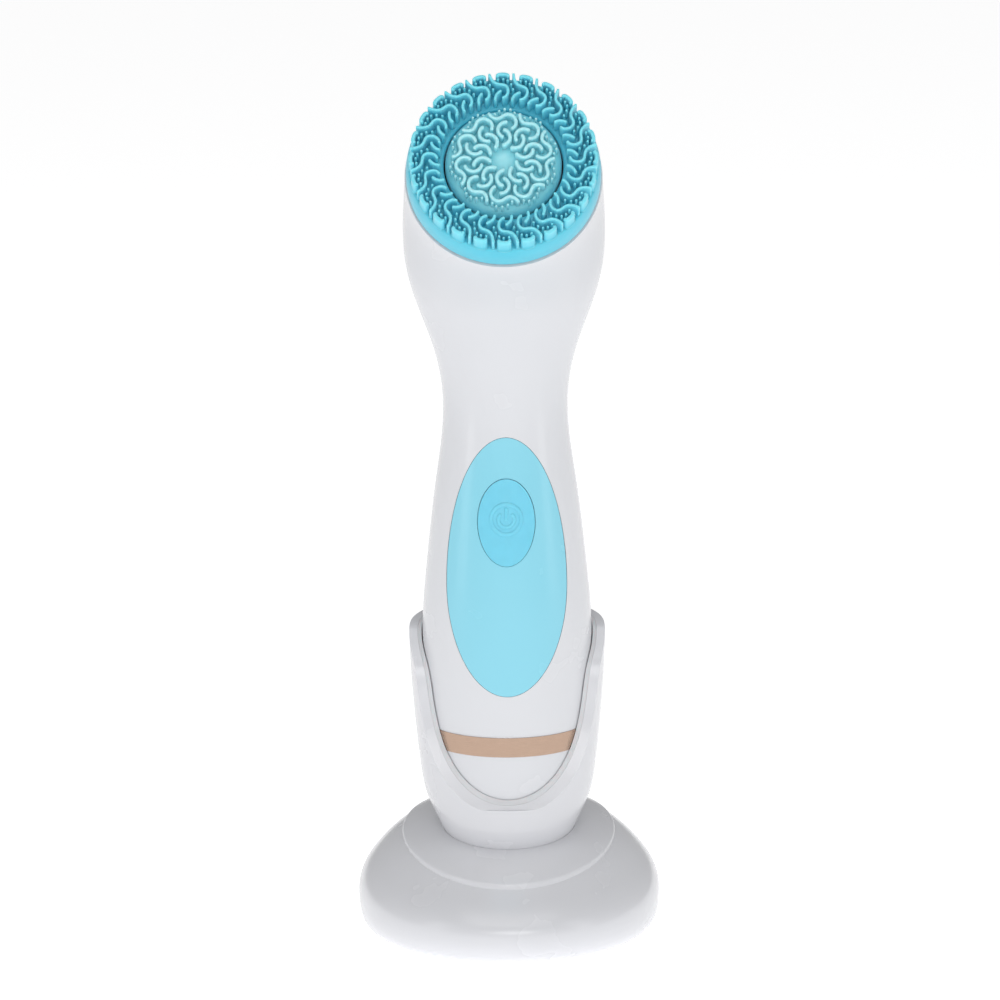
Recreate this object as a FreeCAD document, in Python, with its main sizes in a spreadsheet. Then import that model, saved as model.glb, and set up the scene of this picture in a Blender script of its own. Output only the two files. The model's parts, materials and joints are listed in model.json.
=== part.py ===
"""Facial cleansing brush standing in its charging cradle.

Frame: millimetres, +Z up, the brush faces -Y, and the origin is the middle of the foot pad's
underside, below the handle's axis. The head has a frame of its own, with its origin at the middle
of the head's flat face: x to the right, v up the face, and h out of the face along the brush axis.
"""
import FreeCAD, Part
import math
import os
import re
import Sketcher
from FreeCAD import Rotation, Vector

doc = FreeCAD.newDocument("CleansingBrush")
sheet = doc.addObject("Spreadsheet::Sheet", "Sizes")

SIZES = {
    # Walls, gaps and fits shared by many pieces.
    "shell_wall": 2.0, "proud": 0.2, "slip_gap": 0.3, "seam_gap": 0.12, "shaft_gap": 0.05,
    "screw_radius": 0.9, "screw_gap": 0.05, "screw_head_radius": 1.7, "screw_head_height": 1.1,
    "split_y": 1.0, "far_away": 60,
    # Handle stations: height, half width, half depth; the head's also have a shift and a tilt.
    "tail_z": 31.0, "tail_wide": 13.4, "tail_deep": 12.4,
    "heel_z": 33.5, "heel_wide": 15.6, "heel_deep": 14.2,
    "ankle_z": 38.0, "ankle_wide": 17.8, "ankle_deep": 15.8,
    "seat_z": 46.0, "seat_wide": 19.6, "seat_deep": 17.2,
    "band_low_z": 53.7, "band_low_wide": 20.5, "band_low_deep": 17.9,
    "band_top_z": 59.0, "band_top_wide": 21.0, "band_top_deep": 18.3,
    "thigh_z": 70.0, "thigh_wide": 21.9, "thigh_deep": 19.1,
    "belly_z": 85.0, "belly_wide": 22.45, "belly_deep": 19.5,
    "chest_z": 104.9, "chest_wide": 20.9, "chest_deep": 18.2,
    "throat_z": 124.5, "throat_wide": 18.55, "throat_deep": 16.3,
    "neck_z": 147.0, "neck_wide": 16.4, "neck_deep": 14.6,
    "nape_y": 1.0, "nape_z": 159.5, "nape_tilt": 5.4, "nape_wide": 18.5, "nape_deep": 16.1,
    "jaw_y": 2.95, "jaw_z": 171.5, "jaw_tilt": 13.6, "jaw_wide": 22.8, "jaw_deep": 19.1,
    "cheek_y": 4.65, "cheek_z": 184.5, "cheek_tilt": 28.9, "cheek_wide": 26.1, "cheek_deep": 23.8,
    "brow_y": 3.6, "brow_z": 196.8, "brow_tilt": 40.2, "brow_wide": 26.2, "brow_deep": 26.1,
    "face_y": -3.0, "face_z": 205.5, "face_tilt": 56.0, "face_radius": 25.6,
    # Front panel and power button.
    "panel_z": 99.5, "panel_wide": 15.7, "panel_up": 39.5, "panel_down": 29.0, "panel_thick": 1.0,
    "button_z": 116.85, "button_wide": 7.45, "button_high": 11.4, "button_gap": 0.15,
    "button_travel": 0.5, "button_rim": 1.35, "rim_seat_y": -14.7, "rim_thick": 1.0,
    "guide_gap": 0.5, "guide_wall": 1.0, "membrane_thick": 0.7, "membrane_y": -11.0,
    "plunger_radius": 1.8, "plunger_hole": 2.4,
    # Electronics in the handle.
    "chassis_wide": 10.0, "chassis_y": -4.9, "chassis_thick": 1.5, "chassis_low_z": 61.5,
    "chassis_top_z": 141.0, "cheek_thick": 1.6, "cheek_back_y": 9.0,
    "board_wide": 9.0, "board_thick": 1.6, "board_low_z": 68.0, "board_top_z": 134.0,
    "switch_side": 6.0, "switch_high": 2.5, "stem_radius": 1.5, "stem_high": 0.8,
    "battery_radius": 7.0, "battery_long": 50.0, "battery_stand": 0.6, "battery_low_z": 65.0,
    "battery_gap": 0.3, "tab_gap": 0.5,
    "nub_radius": 2.75, "nub_high": 1.0, "tab_thick": 0.5, "end_wall": 1.2,
    "boss_radius": 2.4, "boss_x": 7.0, "low_boss_z": 65.0, "top_boss_z": 138.5,
    "boss_hole_y": -11.2, "case_screw_y": -11.0,
    # Bottom cap, trim band and seal.
    "cap_floor": 2.0, "spigot_wall": 1.3, "spigot_gap": 0.1, "seal_high": 1.5,
    "coil_inner": 5.0, "coil_outer": 11.0, "coil_thick": 1.6, "ferrite_thick": 1.2,
    # Head: plate, seal, gearbox.
    "plate_thick": 2.0, "plate_gap": 0.2, "ledge_wide": 2.3, "ledge_thick": 1.6,
    "plate_bore": 13.6, "seal_inner": 12.3, "hub_radius": 12.0,
    "cup_outer": 17.8, "cup_inner": 16.0, "cup_back": -14.0, "cup_floor": 1.4,
    "cup_boss_ring": 18.6, "cup_boss_radius": 2.2, "cup_boss_long": 8.0, "cup_screw_long": 8.0,
    "shaft_radius": 2.0, "shaft_back": -13.6, "shaft_nose": 6.4,
    "tooth_module": 0.5, "wheel_back": -12.0, "wheel_front": -9.2, "wheel_teeth": 36,
    "pinion_teeth": 12, "sun_teeth": 12, "backlash": 0.12, "pressure_angle": 25,
    "planet_plate_back": -8.6, "planet_plate_front": -7.0, "bushing_radius": 3.0,
    "pin_radius": 1.0, "planet_back": -6.4, "planet_front": -3.6,
    "hub_back": -6.6, "web_back": -3.2, "web_front": -1.6, "hub_front": 0.5, "hub_bore": 9.0,
    # Motor, in the head frame; its shaft is one centre distance below the brush axis.
    "motor_radius": 12.2, "motor_long": 12.4, "motor_nose_radius": 3.5, "motor_nose": 1.2,
    "motor_shaft_radius": 1.0, "end_cap_radius": 10.0, "end_cap_thick": 1.2, "lead_radius": 0.6,
    "lead_x": 3.0, "lead_straight": 4.0, "lead_lean": 1.0, "lead_drop": 16.0, "lead_neck_y": 5.0,
    "lead_neck_z": 154.0, "lead_rise": 14.0,
    # Brush heads, in the head frame.
    "flange_outer": 21.0, "flange_front": 2.2, "flange_bore": 6.0,
    "carrier_outer": 22.4, "carrier_inner": 15.6, "carrier_back": 0.8, "carrier_front": 4.2,
    "ring_outer": 25.2, "ring_top_outer": 24.2, "ring_inner": 15.4, "ring_back": 0.6,
    "ring_floor": 7.4, "ring_shoulder": 9.6, "ring_crown": 11.9,
    "dome_radius": 15.0, "dome_back": 4.6, "dome_edge": 7.2, "dome_shoulder": 9.4,
    "dome_crown": 11.9, "core_radius": 13.4, "core_front": 7.2, "socket_radius": 4.5,
    "socket_back": 1.0,
    # Charging base stations: height, half width, half length, shift to the back.
    "sole_z": 0.8, "sole_wide": 35.2, "sole_long": 33.6, "sole_y": 4.0,
    "welt_z": 3.2, "welt_wide": 39.1, "welt_long": 39.3, "welt_y": 4.0,
    "parting_z": 9.5, "parting_wide": 40.5, "parting_long": 44.0, "parting_y": 4.0,
    "flank_z": 12.8, "flank_wide": 40.4, "flank_long": 43.7, "flank_y": 4.0,
    "slope_z": 16.0, "slope_wide": 39.5, "slope_long": 41.6, "slope_y": 4.8,
    "ridge_z": 20.0, "ridge_wide": 36.8, "ridge_long": 37.2, "ridge_y": 6.9,
    "crest_z": 25.0, "crest_wide": 31.3, "crest_long": 31.5, "crest_y": 10.0,
    "peak_z": 28.0, "peak_wide": 25.8, "peak_long": 25.5, "peak_y": 12.5,
    "summit_z": 30.5, "summit_wide": 16.4, "summit_long": 15.8, "summit_y": 14.9,
    "apex_z": 31.5, "apex_wide": 4.0, "apex_long": 4.0, "apex_y": 15.5,
    "base_wall": 2.2, "raised_wide": 28.6, "raised_long": 34.0, "raised_y": 5.0,
    "raised_by": 0.8, "raised_round": 0.7,
    "foot_wide": 30.0, "foot_long": 29.0, "foot_thick": 1.6,
    "base_boss_x": 20.0, "base_boss_y": 16.0, "base_boss_radius": 3.6, "base_boss_depth": 17.0,
    "base_head_z": 3.0,
    # Cradle and what it holds.
    "cradle_foot_z": 25.0, "cradle_root_z": 27.1, "cradle_root": 16.3, "cradle_shin_z": 30.0,
    "cradle_shin": 17.8, "cradle_calf_z": 33.5, "cradle_calf": 19.3, "cradle_wall": 2.3,
    "liner_thick": 0.95, "cradle_gap": 0.05, "shelf_wide": 3.1, "shelf_thick": 2.5,
    "collar_wall": 2.2, "cradle_screw_ring": 14.8, "cradle_screw_long": 4.5, "cradle_pocket": 3.0,
    "foot_lap": 0.4,
    "rim_front_z": 38.9, "rim_bend_y": -18.4, "rim_bend_z": 39.4, "rim_cup_y": -16.6,
    "rim_cup_z": 42.1, "rim_rise_y": -13.9, "rim_rise_z": 47.6, "rim_waist_y": -10.9,
    "rim_waist_z": 55.0, "rim_arm_y": -8.6, "rim_arm_z": 67.0, "rim_tip_y": -6.3,
    "rim_tip_z": 77.0, "rim_top_y": -1.0, "rim_top_z": 82.5, "rim_back_y": 8.0,
    "rim_back_z": 86.0, "rim_end_z": 88.0,
    # Charging electronics in the base.
    "charger_wide": 9.0, "charger_front_y": 18.0, "charger_back_y": 42.0, "charger_z": 4.6,
    "charger_thick": 1.2, "post_radius": 2.0, "usb_wide": 3.75, "usb_long": 5.6, "usb_high": 2.6,
    "usb_back_y": 44.8, "usb_skin": 0.35, "usb_gap": 0.5,
}
WORD = re.compile(r"[a-z][a-z_]+")
FACE_FRAME = "placement(vector(0; face_y; face_z); rotation(vector(1; 0; 0); face_tilt))"
PLANETS = 3


def fill_sheet():
    """Write each driving dimension into the sheet as a plain number with an alias."""
    for row, (alias, number) in enumerate(SIZES.items(), start=1):
        sheet.set("A%d" % row, alias)
        sheet.set("B%d" % row, str(number))
        sheet.setAlias("B%d" % row, alias)
    doc.recompute()


def value(expression):
    """The number that an expression in the sheet's aliases gives."""
    return float(sheet.evalExpression(str(expression)))


def bound(expression):
    """The expression as other objects write it, with the sheet's name before each alias."""
    def with_sheet(word):
        return "Sizes." + word.group() if word.group() in SIZES else word.group()
    return WORD.sub(with_sheet, str(expression))


def bind(thing, **properties):
    """Bind properties of an object to expressions in the sheet's aliases."""
    for name, expression in properties.items():
        thing.setExpression(name, bound(expression))
    return thing


def add(kind, name):
    """A new object of the document."""
    return doc.addObject(kind, name)


# Primitives and booleans --------------------------------------------------------------------

def place(thing, x=0, y=0, z=0, axis="0; 0; 1", angle=0):
    """Put an object at x, y, z, turned by an angle in degrees about an axis."""
    spot = "placement(vector(%s; %s; %s); rotation(vector(%s); %s))" % (x, y, z, axis, angle)
    return bind(thing, Placement=spot)


def box(name, x, y, z):
    """A box between pairs of expressions, (low, high), along each axis."""
    block = bind(add("Part::Box", name), Length="(%s) - (%s)" % (x[1], x[0]),
                 Width="(%s) - (%s)" % (y[1], y[0]), Height="(%s) - (%s)" % (z[1], z[0]))
    return place(block, "(%s)" % x[0], "(%s)" % y[0], "(%s)" % z[0])


def slab(name, low, high):
    """All the space between two heights."""
    return box(name, ("-far_away", "far_away"), ("-far_away", "far_away"), (low, high))


def rod(name, radius, low, high, x=0, y=0):
    """A cylinder along Z between two heights."""
    shaft = bind(add("Part::Cylinder", name), Radius=radius, Height="(%s) - (%s)" % (high, low))
    return place(shaft, x, y, "(%s)" % low)


def rod_back(name, radius, front, back, x=0, z=0):
    """A cylinder along +Y between two depths."""
    shaft = bind(add("Part::Cylinder", name), Radius=radius, Height="(%s) - (%s)" % (back, front))
    return place(shaft, x, "(%s)" % front, z, axis="1; 0; 0", angle=-90)


def cut(name, base, tool):
    """The base less the tool."""
    result = add("Part::Cut", name)
    result.Base, result.Tool = base, tool
    return result


def fuse(name, *pieces):
    """The pieces joined into one."""
    result = add("Part::MultiFuse", name)
    result.Shapes = list(pieces)
    return result


def common(name, *pieces):
    """The space that all the pieces share."""
    result = add("Part::MultiCommon", name)
    result.Shapes = list(pieces)
    return result


def group(name, pieces):
    """Separate solids that share one node."""
    result = add("Part::Compound", name)
    result.Links = list(pieces)
    return result


def extruded(name, outline, length, along=Vector(0, 0, 1)):
    """A flat outline carried along a direction."""
    prism = add("Part::Extrusion", name)
    prism.Base, prism.DirMode, prism.Dir, prism.Solid = outline, "Custom", along, True
    return bind(prism, LengthFwd=length)


def oval_prism(name, half_wide, half_high, z, front="-far_away", back="split_y"):
    """An upright oval, seen from the front, carried from one depth to another along Y."""
    oval = add("Part::Ellipse", name + "_oval")
    if value(half_high) > value(half_wide):
        bind(oval, MajorRadius=half_high, MinorRadius=half_wide)
        turn = "rotation(vector(1; 0; 0); -90) * rotation(vector(0; 0; 1); 90)"
    else:
        bind(oval, MajorRadius=half_wide, MinorRadius=half_high)
        turn = "rotation(vector(1; 0; 0); -90)"
    bind(oval, Placement="placement(vector(0; %s; %s); %s)" % (front, z, turn))
    return extruded(name, oval, "(%s) - (%s)" % (back, front), Vector(0, 1, 0))


# Skins --------------------------------------------------------------------------------------

HANDLE = ["tail", "heel", "ankle", "seat", "band_low", "band_top", "thigh", "belly", "chest",
          "throat", "neck", "nape", "jaw", "cheek", "brow", "face"]
GRIP = HANDLE[:8]
BASE = ["sole", "welt", "parting", "flank", "slope", "ridge", "crest", "peak", "summit", "apex"]
AROUND = 16


def section(name, wide, deep, y, z):
    """One level oval as an object of its own."""
    oval = add("Part::Ellipse", name)
    turn = "rotation(vector(0; 0; 1); 0)"
    if value(deep) > value(wide):
        wide, deep = deep, wide
        turn = "rotation(vector(0; 0; 1); 90)"
    bind(oval, MajorRadius=wide, MinorRadius=deep)
    return bind(oval, Placement="placement(vector(0; %s; %s); %s)" % (y, z, turn))


def oval_poles(wide, deep, y, z, tilt=0):
    """The poles of a closed cubic curve along an oval, level or tilted back about X.

    The curve is the even closed spline that passes through the oval at AROUND knots.
    """
    pull = 3 / (2 + math.cos(2 * math.pi / AROUND))
    lean = Rotation(Vector(1, 0, 0), tilt)
    angles = [2 * math.pi * number / AROUND for number in range(AROUND)]
    return [Vector(0, y, z) + lean.multVec(Vector(wide * pull * math.cos(angle),
                                                  deep * pull * math.sin(angle), 0))
            for angle in angles]


def skin(name, ovals):
    """A smooth solid through ovals: each pole of one is joined by a spline to its fellows."""
    rows = [oval_poles(*oval) for oval in ovals]
    steps = [0]
    for low, high in zip(rows, rows[1:]):
        steps.append(steps[-1] + sum((q - p).Length for p, q in zip(low, high)) / AROUND)
    steps = [step / steps[-1] for step in steps]
    ribs = []
    for number in range(AROUND):
        rib = Part.BSplineCurve()
        rib.interpolate([row[number] for row in rows], Parameters=steps)
        ribs.append(rib)
    surface = Part.BSplineSurface()
    surface.buildFromPolesMultsKnots([rib.getPoles() for rib in ribs], [1] * (AROUND + 1),
                                     ribs[0].getMultiplicities(), list(range(AROUND + 1)),
                                     ribs[0].getKnots(), True, False, 3, ribs[0].Degree)
    ends = [Part.Face(Part.Wire(surface.vIso(end).toShape())) for end in (0, 1)]
    shell = Part.makeShell([surface.toShape()] + ends)
    shell.sewShape()
    solid = Part.makeSolid(shell.Shells[0])
    if solid.Volume < 0:
        solid.reverse()
    feature = add("Part::Feature", name)
    feature.Shape = solid
    return feature


def handle_oval(station, grow="0"):
    """The handle's oval at a station, grown outwards by an expression."""
    if station == "face":
        wide = deep = value("face_radius + (%s)" % grow)
    else:
        wide, deep = (value("%s_%s + (%s)" % (station, side, grow)) for side in ("wide", "deep"))
    y, tilt = (value(alias) if alias in SIZES else 0
               for alias in (station + "_y", station + "_tilt"))
    return wide, deep, y, value(station + "_z"), tilt


def handle_skin(name, grow, stations=HANDLE, past_ends=0):
    """The handle's outer shape, grown outwards, and carried a little past its two ends."""
    ovals = [handle_oval(station, grow) for station in stations]
    if past_ends:
        wide, deep, y, z, tilt = ovals[-1]
        ahead = Rotation(Vector(1, 0, 0), tilt).multVec(Vector(0, 0, past_ends))
        ovals.append((wide, deep, y + ahead.y, z + ahead.z, tilt))
        wide, deep, y, z, tilt = ovals[0]
        ovals.insert(0, (wide - past_ends, deep - past_ends, y, z - past_ends, tilt))
    return skin(name, ovals)


def base_skin(name, inset, lowered="0"):
    """The base's outer shape, drawn in by one expression and its dome lowered by another."""
    ovals = []
    for number, station in enumerate(BASE):
        wide, long = (value("%s_%s - (%s)" % (station, side, inset)) for side in ("wide", "long"))
        drop = value(lowered) if number > BASE.index("flank") else 0
        ovals.append((max(wide, 1), max(long, 1), value(station + "_y"),
                      value(station + "_z") - drop))
    return skin(name, ovals)


# PartDesign bodies --------------------------------------------------------------------------

def plane(body, role):
    """One of a body's own origin planes or axes."""
    return next(item for item in body.Origin.OriginFeatures if item.Role == role)


def outline(body, name, role, points):
    """A closed sketch of straight sides through points given as pairs of expressions."""
    sketch = body.newObject("Sketcher::SketchObject", name)
    sketch.AttachmentSupport, sketch.MapMode = [(plane(body, role), "")], "FlatFace"
    corners = [Vector(value(across), value(up), 0) for across, up in points]
    for start, end in zip(corners, corners[1:] + corners[:1]):
        sketch.addGeometry(Part.LineSegment(start, end))
    for side in range(len(points)):
        following = (side + 1) % len(points)
        sketch.addConstraint(Sketcher.Constraint("Coincident", side, 2, following, 1))
    for side, spot in enumerate(points):
        for kind, expression in zip(("DistanceX", "DistanceY"), spot):
            rule = Sketcher.Constraint(kind, side, 1, value(expression))
            number = sketch.addConstraint(rule)
            sketch.setExpression("Constraints[%d]" % number, bound(expression))
    return sketch


def turned(name, points):
    """A body turned about its own Z axis from a (radius, height) outline."""
    body = add("PartDesign::Body", name)
    sketch = outline(body, name + "_profile", "XZ_Plane", points)
    turn = body.newObject("PartDesign::Revolution", name + "_turn")
    turn.Profile, turn.ReferenceAxis, turn.Angle = sketch, (sketch, ["V_Axis"]), 360
    return body


def washer(name, inner, outer, low, high):
    """A turned ring between two radii and two heights."""
    return turned(name, [(inner, low), (outer, low), (outer, high), (inner, high)])


def disc(name, radius, low, high):
    """A turned solid disc or shaft between two heights."""
    return turned(name, [("0", low), (radius, low), (radius, high), ("0", high)])


def ring_sketch(body, name, circles, height):
    """Circles on a level plane: each is a radius and a distance from the axis along X."""
    sketch = body.newObject("Sketcher::SketchObject", name)
    sketch.AttachmentSupport, sketch.MapMode = [(plane(body, "XY_Plane"), "")], "FlatFace"
    sketch.setExpression("AttachmentOffset.Base.z", bound(height))
    for number, (radius, across) in enumerate(circles):
        middle = Vector(value(across), 0, 0)
        sketch.addGeometry(Part.Circle(middle, Vector(0, 0, 1), value(radius)))
        for kind, expression in (("Radius", radius), ("DistanceX", across)):
            if kind == "Radius":
                rule = Sketcher.Constraint(kind, number, value(expression))
            else:
                rule = Sketcher.Constraint(kind, number, 3, value(expression))
            spot = sketch.addConstraint(rule)
            sketch.setExpression("Constraints[%d]" % spot, bound(expression))
        sketch.addConstraint(Sketcher.Constraint("PointOnObject", number, 3, -1))
    return sketch


def repeat(body, feature, count):
    """Repeat a feature evenly about the body's Z axis."""
    doc.recompute()
    pattern = body.newObject("PartDesign::PolarPattern", feature.Name + "_ring")
    pattern.Originals, pattern.Axis = [feature], (plane(body, "Z_Axis"), [""])
    pattern.Angle, pattern.Occurrences = 360, count
    body.Tip = pattern
    doc.recompute()
    return pattern


def posts(body, name, radius, across, low, high, count):
    """Round posts about the axis, from one height up to another."""
    sketch = ring_sketch(body, name + "_spot", [(radius, across)], low)
    pad = body.newObject("PartDesign::Pad", name)
    pad.Profile = sketch
    pad.setExpression("Length", bound("(%s) - (%s)" % (high, low)))
    return repeat(body, pad, count)


def holes(body, name, radius, across, top, depth, count):
    """Round holes about the axis, sunk from one height down to a depth."""
    doc.recompute()
    before = body.Shape.Volume
    sketch = ring_sketch(body, name + "_spot", [(radius, across)], top)
    pocket = body.newObject("PartDesign::Pocket", name)
    pocket.Profile = sketch
    pocket.setExpression("Length", bound(depth))
    doc.recompute()
    if pocket.Shape.Volume > before - 1e-6:
        raise RuntimeError("%s cuts nothing" % name)
    return repeat(body, pocket, count) if count > 1 else pocket


# Gears --------------------------------------------------------------------------------------

def involute(angle):
    """The involute function of a pressure angle."""
    return math.tan(angle) - angle


def tooth_edges(teeth, inner, outer, half_tooth, turn):
    """Edges of a toothed outline: flanks between two radii, joined by straight lands.

    A flank stands half the tooth's angle from the tooth's middle at the pitch circle, and nears
    the middle outwards as the involute of the base circle does.
    """
    pitch = value("tooth_module") * teeth / 2
    slant = math.radians(value("pressure_angle"))
    base = pitch * math.cos(slant)
    start = max(inner, base)
    radii = [start + (outer - start) * step / 3 for step in range(4)]
    spread = [half_tooth + involute(slant) - involute(math.acos(min(1, base / radius)))
              for radius in radii]
    edges, joints = [], []
    for tooth in range(teeth):
        middle = turn + 2 * math.pi * tooth / teeth
        for side in (-1, 1):
            flank = [Vector(radius * math.cos(middle + side * half),
                            radius * math.sin(middle + side * half), 0)
                     for radius, half in zip(radii, spread)]
            root = Vector(flank[0]).multiply(inner / start)
            curve = Part.BSplineCurve()
            curve.interpolate(flank[::-side])
            foot = [Part.LineSegment(root, flank[0]).toShape()] if start > inner else []
            edges += foot + [curve.toShape()] if side < 0 else [curve.toShape()] + foot
            joints.append((root, flank[-1]) if side < 0 else (flank[-1], root))
    lands = []
    for number, (begin, end) in enumerate(joints):
        following = joints[(number + 1) % len(joints)][0]
        lands.append(Part.LineSegment(end, following).toShape())
    return edges + lands


def toothed(teeth, inner, outer, half_tooth, turn, low, high):
    """A toothed solid between two heights."""
    edges = tooth_edges(teeth, inner, outer, half_tooth, turn)
    wire = Part.Wire(Part.__sortEdges__(edges))
    solid = Part.Face(wire).extrude(Vector(0, 0, high - low))
    solid.translate(Vector(0, 0, low))
    return solid


def outer_gear(name, teeth, bore, low, high, turn, spot=(0, 0)):
    """An external gear with a bore, turned by an angle and set at a spot."""
    module, low, high = value("tooth_module"), value(low), value(high)
    pitch = module * teeth / 2
    half_tooth = math.pi / (2 * teeth) - value("backlash") / (4 * pitch)
    solid = toothed(teeth, pitch - 1.25 * module, pitch + module, half_tooth, turn, low, high)
    solid.translate(Vector(spot[0], spot[1], 0))
    middle = Vector(spot[0], spot[1], low)
    solid = solid.cut(Part.makeCylinder(value(bore), high - low, middle))
    feature = add("Part::Feature", name)
    feature.Shape = solid
    return feature


def ring_gear_space(name, teeth, low, high, turn):
    """The space inside an internal gear: an outline whose teeth are the gear's gaps."""
    module = value("tooth_module")
    pitch = module * teeth / 2
    half_gap = math.pi / (2 * teeth) + value("backlash") / (4 * pitch)
    turn += math.pi / teeth
    feature = add("Part::Feature", name)
    feature.Shape = toothed(teeth, pitch - module, pitch + 1.25 * module, half_gap, turn,
                            value(low), value(high))
    return feature


def mating_turn(teeth, turn, other_teeth, direction):
    """How far the other of two external gears is turned to mesh, from where the first stands."""
    phase = teeth * (direction - turn) / (2 * math.pi)
    return direction + math.pi - 2 * math.pi / other_teeth * (0.5 - phase)


def ring_turn(teeth, turn, ring_teeth, direction):
    """How far an internal gear is turned to mesh with a planet that lies in a direction."""
    phase = teeth * (direction - turn) / (2 * math.pi)
    return direction - 2 * math.pi / ring_teeth * (0.5 + phase)


# Other helpers ------------------------------------------------------------------------------

def screws(name, spots, seat, long, head, downwards=True):
    """Screws along Z with a slot in the head; seat is where each head's underside rests."""
    pieces = []
    for number, (x, y) in enumerate(spots):
        tag = "%s_%d" % (name, number)
        away = ("0", head) if downwards else ("-(%s)" % head, "0")
        shank = ("-(%s)" % long, "0") if downwards else ("0", long)
        slot = ("(%s) / 2" % head, head) if downwards else ("-(%s)" % head, "-(%s) / 2" % head)
        cap = rod(tag + "_head", "screw_head_radius", *away)
        stem = rod(tag + "_shank", "screw_radius", *shank)
        groove = box(tag + "_slot", ("-screw_head_radius", "screw_head_radius"),
                     ("-screw_radius / 4", "screw_radius / 4"), slot)
        whole = cut(tag, fuse(tag + "_blank", cap, stem), groove)
        pieces.append(place(whole, x, y, seat))
    return group(name, pieces)


def round_spots(radius, count, start=45):
    """Spots evenly round a circle, as pairs of expressions."""
    angles = [start + 360 / count * number for number in range(count)]
    return [("(%s) * cos(%g deg)" % (radius, angle), "(%s) * sin(%g deg)" % (radius, angle))
            for angle in angles]


def bent_tube(points, radius, bend):
    """A round tube along straight runs joined by arcs, each arc as large as its runs allow."""
    edges, start = [], points[0]
    for before, corner, after in zip(points, points[1:], points[2:]):
        inwards = (before - corner).normalize()
        outwards = (after - corner).normalize()
        shorter = min((before - corner).Length, (after - corner).Length)
        reach = bend * shorter
        begin, end = corner + inwards * reach, corner + outwards * reach
        half_turn = (math.pi - inwards.getAngle(outwards)) / 2
        arc_radius = reach / math.tan(half_turn)
        middle_way = (inwards + outwards).normalize()
        centre = corner + middle_way * (arc_radius / math.cos(half_turn))
        middle = centre - middle_way * arc_radius
        edges.append(Part.LineSegment(start, begin).toShape())
        edges.append(Part.Arc(begin, middle, end).toShape())
        start = end
    edges.append(Part.LineSegment(start, points[-1]).toShape())
    path = Part.Wire(edges)
    profile = Part.Wire(Part.Circle(points[0], points[1] - points[0], radius).toShape())
    return path.makePipeShell([profile], True, False)


NODES = {}


def node(label, thing, frame=None):
    """Name a finished piece, and put it in its frame."""
    if frame:
        bind(thing, Placement=frame)
    thing.Label = label
    NODES[label] = thing
    return thing


fill_sheet()


# Charging base ------------------------------------------------------------------------------

def make_base():
    """The two shells of the pebble-shaped base, its foot pad and the screws that close it."""
    outside = fuse("base_outside", base_skin("base_skin", "0"), raised_middle())
    core = base_skin("base_core", "base_wall", "base_wall")
    corners = [("%s * base_boss_x" % right, "sole_y + %s * base_boss_y" % back)
               for right in (-1, 1) for back in (-1, 1)]
    hollow = common("base_hollow", core, slab("base_room", "sole_z + base_wall", "far_away"))
    shell = cut("base_shell", outside, hollow)
    foot = section("foot_outline", "foot_wide", "foot_long", "sole_y", "0")
    pad = node("foot_pad", extruded("foot_pad", foot, "foot_thick"))
    make_lower_shell(outside, shell, pad, corners)
    make_upper_shell(outside, shell, corners)
    node("base_screws", screws("base_screws", corners, "base_head_z",
                               "base_boss_depth - base_head_z - 1", "screw_head_height",
                               downwards=False))


def make_lower_shell(outside, shell, pad, corners):
    """The lower shell: floor, screw bosses, board posts and the charging inlet's opening."""
    below = slab("below_parting", "0", "parting_z")
    bosses = [rod("low_boss_%d" % spot, "base_boss_radius", "sole_z", "parting_z", x, y)
              for spot, (x, y) in enumerate(corners)]
    stands = [rod("board_post_%d" % spot, "post_radius", "sole_z", "charger_z", x, y)
              for spot, (x, y) in enumerate([("-charger_wide + post_radius", "charger_front_y + 3"),
                                             ("charger_wide - post_radius", "charger_front_y + 3"),
                                             ("0", "charger_back_y - 6")])]
    inside = common("low_inside", outside, below)
    blank = common("low_blank", fuse("low_parts", shell, *bosses, *stands), inside)
    tools = [pad]
    for spot, (x, y) in enumerate(corners):
        tools.append(rod("low_hole_%d" % spot, "screw_radius + screw_gap", "0", "far_away", x, y))
        tools.append(rod("low_sink_%d" % spot, "screw_head_radius + slip_gap", "0", "base_head_z",
                         x, y))
    tools.append(box("inlet_hole", ("-usb_wide - usb_gap", "usb_wide + usb_gap"),
                     ("charger_back_y", "far_away"),
                     ("charger_z + charger_thick - usb_gap",
                      "charger_z + charger_thick + usb_high + usb_gap")))
    node("base_lower_shell", cut("base_lower_shell", blank, fuse("low_tools", *tools)))


def make_upper_shell(outside, shell, corners):
    """The upper shell: dome, screw posts, and the collar and shelf that carry the cradle."""
    above = slab("above_parting", "parting_z", "far_away")
    inside = common("top_inside", outside, above)
    pillars = [rod("top_boss_%d" % spot, "base_boss_radius", "parting_z", "far_away", x, y)
               for spot, (x, y) in enumerate(corners)]
    collar = rod("collar", "cradle_root + collar_wall", "cradle_foot_z - shelf_thick", "far_away")
    blank = common("top_blank", fuse("top_parts", shell, collar, *pillars), inside)
    seat = rod("cradle_seat", "cradle_root + slip_gap", "cradle_foot_z", "cradle_shin_z")
    window = rod("shelf_window", "cradle_root - shelf_wide", "parting_z", "far_away")
    tools = [seat, window, cradle_shape("cradle_clearance", "cradle_gap")]
    for spot, (x, y) in enumerate(corners):
        tools.append(rod("top_hole_%d" % spot, "screw_radius + screw_gap", "0",
                         "base_boss_depth", x, y))
    for spot, (x, y) in enumerate(round_spots("cradle_screw_ring", 3, 90)):
        tools.append(rod("shelf_hole_%d" % spot, "screw_radius + screw_gap", "parting_z",
                         "cradle_foot_z", x, y))
    node("base_upper_shell", cut("base_upper_shell", blank, fuse("top_tools", *tools)))


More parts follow.
